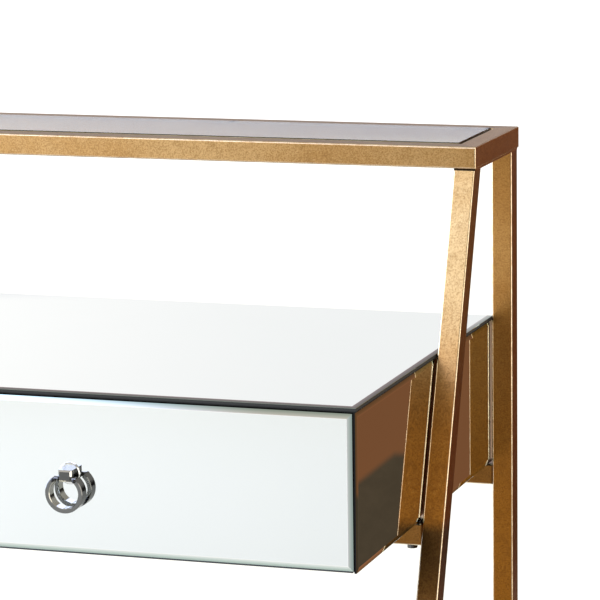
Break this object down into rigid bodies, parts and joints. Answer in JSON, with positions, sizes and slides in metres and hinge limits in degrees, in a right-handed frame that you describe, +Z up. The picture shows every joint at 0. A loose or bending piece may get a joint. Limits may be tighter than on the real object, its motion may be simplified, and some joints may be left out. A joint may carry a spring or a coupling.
{
  "type": "vanity table",
  "caption": "Mirror-clad vanity console on an antique-gold steel frame with raked front legs, a glass shelf over the back of the box, and sliding drawers with swinging ring pulls.",
  "frame": {"origin": "on the floor, at the centre of the table's overall footprint, ring pulls included", "axes": "+X to the table's right as the sitter sees it, +Y from the drawer fronts to the back, +Z up"},
  "size_m": [1.164, 0.5102, 0.93],
  "materials": {
    "gold_frame": "antique gold, brushed and speckled, satin",
    "mirror_glass": "silvered glass with bevelled edges",
    "shelf_glass": "clear polished glass with a ground arris",
    "black_board": "fibreboard sprayed black, matt",
    "drawer_board": "pale lacquered wood",
    "zinc_steel": "bright zinc plate",
    "pull_chrome": "polished chrome",
    "pad_rubber": "matt",
    "glide_plastic": "matt black",
    "clear_bumper": "clear soft plastic"
  },
  "bodies": {
    "table": {"shelf_front_rail": "gold_frame", "shelf_rear_rail": "gold_frame", "shelf_left_rail": "gold_frame", "shelf_right_rail": "gold_frame", "shelf_ledges": "gold_frame", "glass_bumpers": "clear_bumper", "shelf_glass": "shelf_glass", "left_top_bar": "gold_frame", "right_top_bar": "gold_frame", "front_left_leg": "gold_frame", "front_right_leg": "gold_frame", "rear_left_leg": "gold_frame", "rear_right_leg": "gold_frame", "front_crossbar": "gold_frame", "rear_crossbar": "gold_frame", "crossbar_end_plates": "gold_frame", "box_pads": "pad_rubber", "rear_box_tabs": "gold_frame", "foot_glides": "glide_plastic", "shelf_bolts": "zinc_steel", "front_box_bolts": "zinc_steel", "rear_box_bolts": "zinc_steel", "carcass_top": "black_board", "carcass_bottom": "black_board", "carcass_left_side": "black_board", "carcass_right_side": "black_board", "carcass_back": "black_board", "centre_divider": "black_board", "top_mirror": "mirror_glass", "left_side_mirror": "mirror_glass", "right_side_mirror": "mirror_glass", "left_outer_runners": "zinc_steel", "right_outer_runners": "zinc_steel"},
    "left_drawer": {"left_drawer_front": "black_board", "left_drawer_mirror": "mirror_glass", "left_drawer_left_side": "drawer_board", "left_drawer_right_side": "drawer_board", "left_drawer_back": "drawer_board", "left_drawer_bottom": "drawer_board", "left_inner_runners": "zinc_steel", "left_pull_rosette": "pull_chrome", "left_pull_post": "pull_chrome", "left_pull_pin": "pull_chrome", "left_pull_screw": "zinc_steel"},
    "left_middle_runners": {"left_middle_runners": "zinc_steel"},
    "left_ring": {"left_pull_ring": "pull_chrome"},
    "right_drawer": {"right_drawer_front": "black_board", "right_drawer_mirror": "mirror_glass", "right_drawer_left_side": "drawer_board", "right_drawer_right_side": "drawer_board", "right_drawer_back": "drawer_board", "right_drawer_bottom": "drawer_board", "right_inner_runners": "zinc_steel", "right_pull_rosette": "pull_chrome", "right_pull_post": "pull_chrome", "right_pull_pin": "pull_chrome", "right_pull_screw": "zinc_steel"},
    "right_middle_runners": {"right_middle_runners": "zinc_steel"},
    "right_ring": {"right_pull_ring": "pull_chrome"}
  },
  "joints": [
    {"name": "left_drawer_slide", "type": "slide", "parent": "table", "child": "left_drawer", "axis": [0, -1, 0], "range_m": [0, 0.35]},
    {"name": "left_runner_slide", "type": "slide", "parent": "table", "child": "left_middle_runners", "axis": [0, -1, 0], "range_m": [0, 0.175]},
    {"name": "left_ring_swing", "type": "hinge", "parent": "left_drawer", "child": "left_ring", "pos_m": [-0.2769, -0.24738, 0.6527], "axis": [-1, 0, 0], "range_deg": [-10, 190]},
    {"name": "right_drawer_slide", "type": "slide", "parent": "table", "child": "right_drawer", "axis": [0, -1, 0], "range_m": [0, 0.35]},
    {"name": "right_runner_slide", "type": "slide", "parent": "table", "child": "right_middle_runners", "axis": [0, -1, 0], "range_m": [0, 0.175]},
    {"name": "right_ring_swing", "type": "hinge", "parent": "right_drawer", "child": "right_ring", "pos_m": [0.2769, -0.24738, 0.6527], "axis": [-1, 0, 0], "range_deg": [-10, 190]}
  ],
  "couplings": [
    {"joint": "left_runner_slide", "follows": "left_drawer_slide", "ratio": 0.5},
    {"joint": "right_runner_slide", "follows": "right_drawer_slide", "ratio": 0.5}
  ]
}
